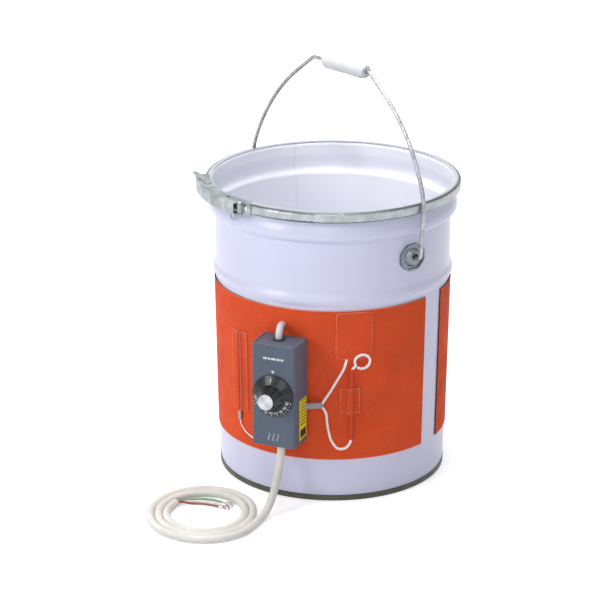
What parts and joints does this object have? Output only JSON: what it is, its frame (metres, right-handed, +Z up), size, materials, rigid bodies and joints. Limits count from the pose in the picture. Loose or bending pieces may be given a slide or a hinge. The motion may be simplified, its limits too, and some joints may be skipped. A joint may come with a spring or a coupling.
{
  "type": "pail heater",
  "caption": "Silicone-rubber heater band with a dial control box, fitted round a tapered steel pail that has a lever-lock ring, a wire bail and a coiled power cord.",
  "frame": {"origin": "centre of the pail's foot on the floor", "axes": "+Z up along the pail's axis, -Y towards the control box, +X to the right as one faces the box"},
  "size_m": [0.315, 0.4639, 0.5161],
  "materials": {
    "enamel": "gloss",
    "galvanised_steel": "satin",
    "white_plastic": "satin",
    "silicone_rubber": "matt, fine fabric grain",
    "red_sleeve": "satin",
    "bulb_metal": "satin",
    "white_lead": "satin",
    "grey_sheath": "satin",
    "case_paint": "satin",
    "screw_steel": "satin",
    "phenolic": "matt",
    "black_plastic": "gloss",
    "bright_aluminium": "spun",
    "label_film": "satin",
    "black_rubber": "matt",
    "cord_jacket": "satin",
    "green_core": "satin",
    "red_core": "satin",
    "tinned_copper": "satin"
  },
  "bodies": {
    "pail": {"bulb_ferrule": "bulb_metal", "bulb_pocket": "silicone_rubber", "capillary_tube": "white_lead", "case_body": "case_paint", "case_saddle": "silicone_rubber", "cord_bush": "black_rubber", "cord_coil": "cord_jacket", "cord_tube": "cord_jacket", "core_green": "green_core", "core_red": "red_core", "core_white": "white_lead", "ear_back": "galvanised_steel", "ear_front": "galvanised_steel", "heater_band": "silicone_rubber", "heater_lead": "white_lead", "hinge_bracket": "galvanised_steel", "hinge_pin": "galvanised_steel", "keeper_bracket": "galvanised_steel", "keeper_pin": "galvanised_steel", "lead_patch": "silicone_rubber", "lead_sheath": "grey_sheath", "lock_ring": "galvanised_steel", "pail_bottom": "enamel", "pail_shell": "enamel", "plate_screws": "screw_steel", "regulator_body": "phenolic", "ring_terminals": "tinned_copper", "seal_eye": "galvanised_steel", "sensing_bulb": "bulb_metal", "sensor_lead": "white_lead", "sensor_sleeve": "red_sleeve", "sensor_tab": "silicone_rubber", "side_label": "label_film", "side_plate": "case_paint", "terminal_block": "phenolic", "top_grommet": "black_rubber", "top_lead": "grey_sheath"},
    "bail": {"bail_wire": "galvanised_steel"},
    "grip": {"bail_grip": "white_plastic"},
    "lever": {"lock_lever": "galvanised_steel", "link_pin": "galvanised_steel"},
    "link": {"lock_link": "galvanised_steel"},
    "dial": {"regulator_shaft": "screw_steel", "dial_knob": "black_plastic", "dial_cap": "bright_aluminium"}
  },
  "joints": [
    {"name": "bail_swing", "type": "hinge", "parent": "pail", "child": "bail", "pos_m": [0, 0, 0.303], "axis": [0.887, -0.4617, 0], "range_deg": [-124, 116]},
    {"name": "grip_spin", "type": "hinge", "parent": "bail", "child": "grip", "pos_m": [0.00575, 0.01105, 0.50662], "axis": [0.887, -0.4617, 0], "continuous": true},
    {"name": "lever_swing", "type": "hinge", "parent": "pail", "child": "lever", "pos_m": [-0.05666, -0.15155, 0.36435], "axis": [0, 0, 1], "range_deg": [0, 100]},
    {"name": "link_swing", "type": "hinge", "parent": "lever", "child": "link", "pos_m": [-0.08323, -0.13852, 0.36435], "axis": [0, 0, 1], "range_deg": [-90, 0]},
    {"name": "dial_turn", "type": "hinge", "parent": "pail", "child": "dial", "pos_m": [0, -0.1852, 0.1497], "axis": [0, -1, 0], "range_deg": [0, 265]}
  ],
  "couplings": [
    {"joint": "link_swing", "follows": "lever_swing", "ratio": -0.9}
  ]
}
